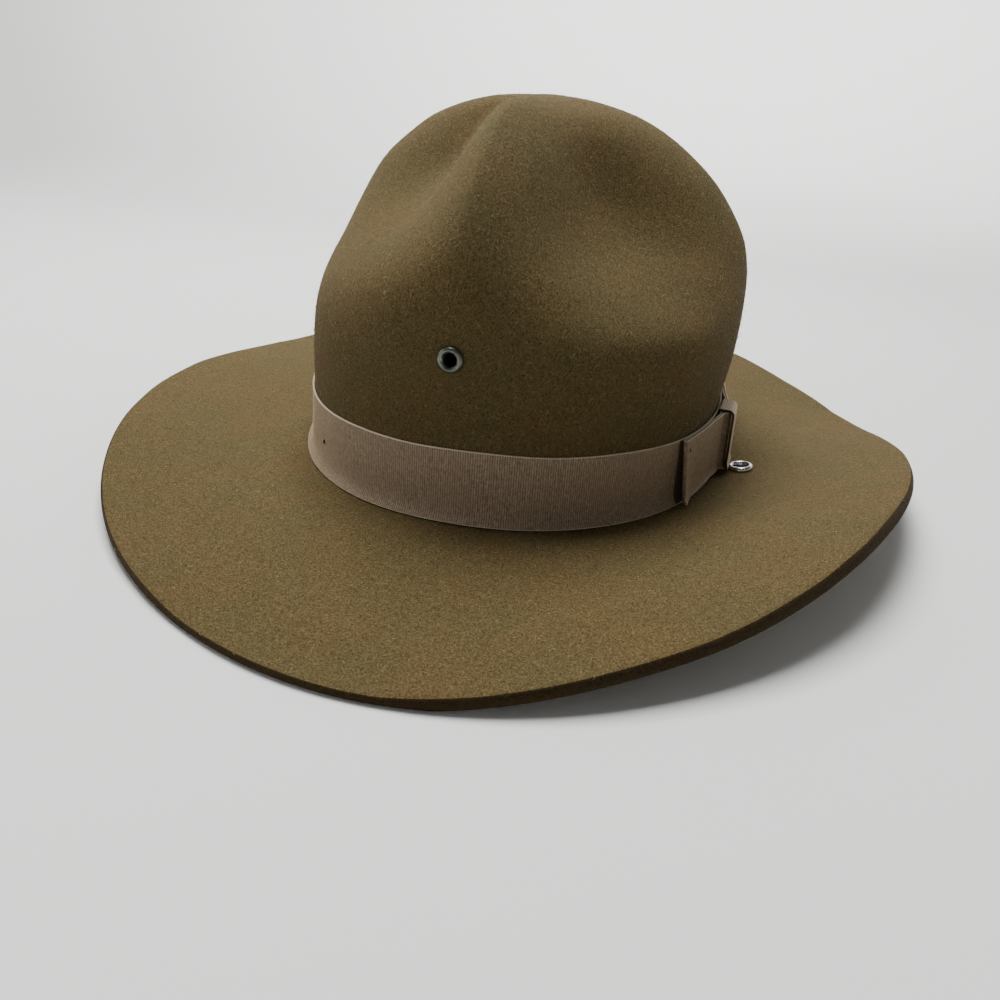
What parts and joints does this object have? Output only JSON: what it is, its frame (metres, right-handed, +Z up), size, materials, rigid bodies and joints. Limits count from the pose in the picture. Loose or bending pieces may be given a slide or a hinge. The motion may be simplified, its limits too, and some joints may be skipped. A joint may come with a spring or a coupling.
{
  "type": "campaign hat",
  "caption": "Stiff felt campaign hat with a tall four-dent crown, a wide flat brim, a ribbon band with a side bow, and metal eyelets in crown and brim.",
  "frame": {"origin": "on the floor, under the middle of the brim's outline", "axes": "+Z up, -Y to the hat's front, +X to the wearer's left"},
  "size_m": [0.3194, 0.3682, 0.1356],
  "materials": {
    "felt": "matt brushed olive felt",
    "ribbon": "ribbed taupe grosgrain",
    "dark_metal": "dark green-grey lacquered metal",
    "bright_metal": "plain rolled metal"
  },
  "bodies": {
    "root": {"felt_body": "felt", "hat_band": "ribbon", "bow_loop": "ribbon", "bow_keeper": "ribbon", "crown_eyelet": "dark_metal", "brim_eyelet_left": "bright_metal", "brim_eyelet_right": "bright_metal"}
  },
  "joints": []
}
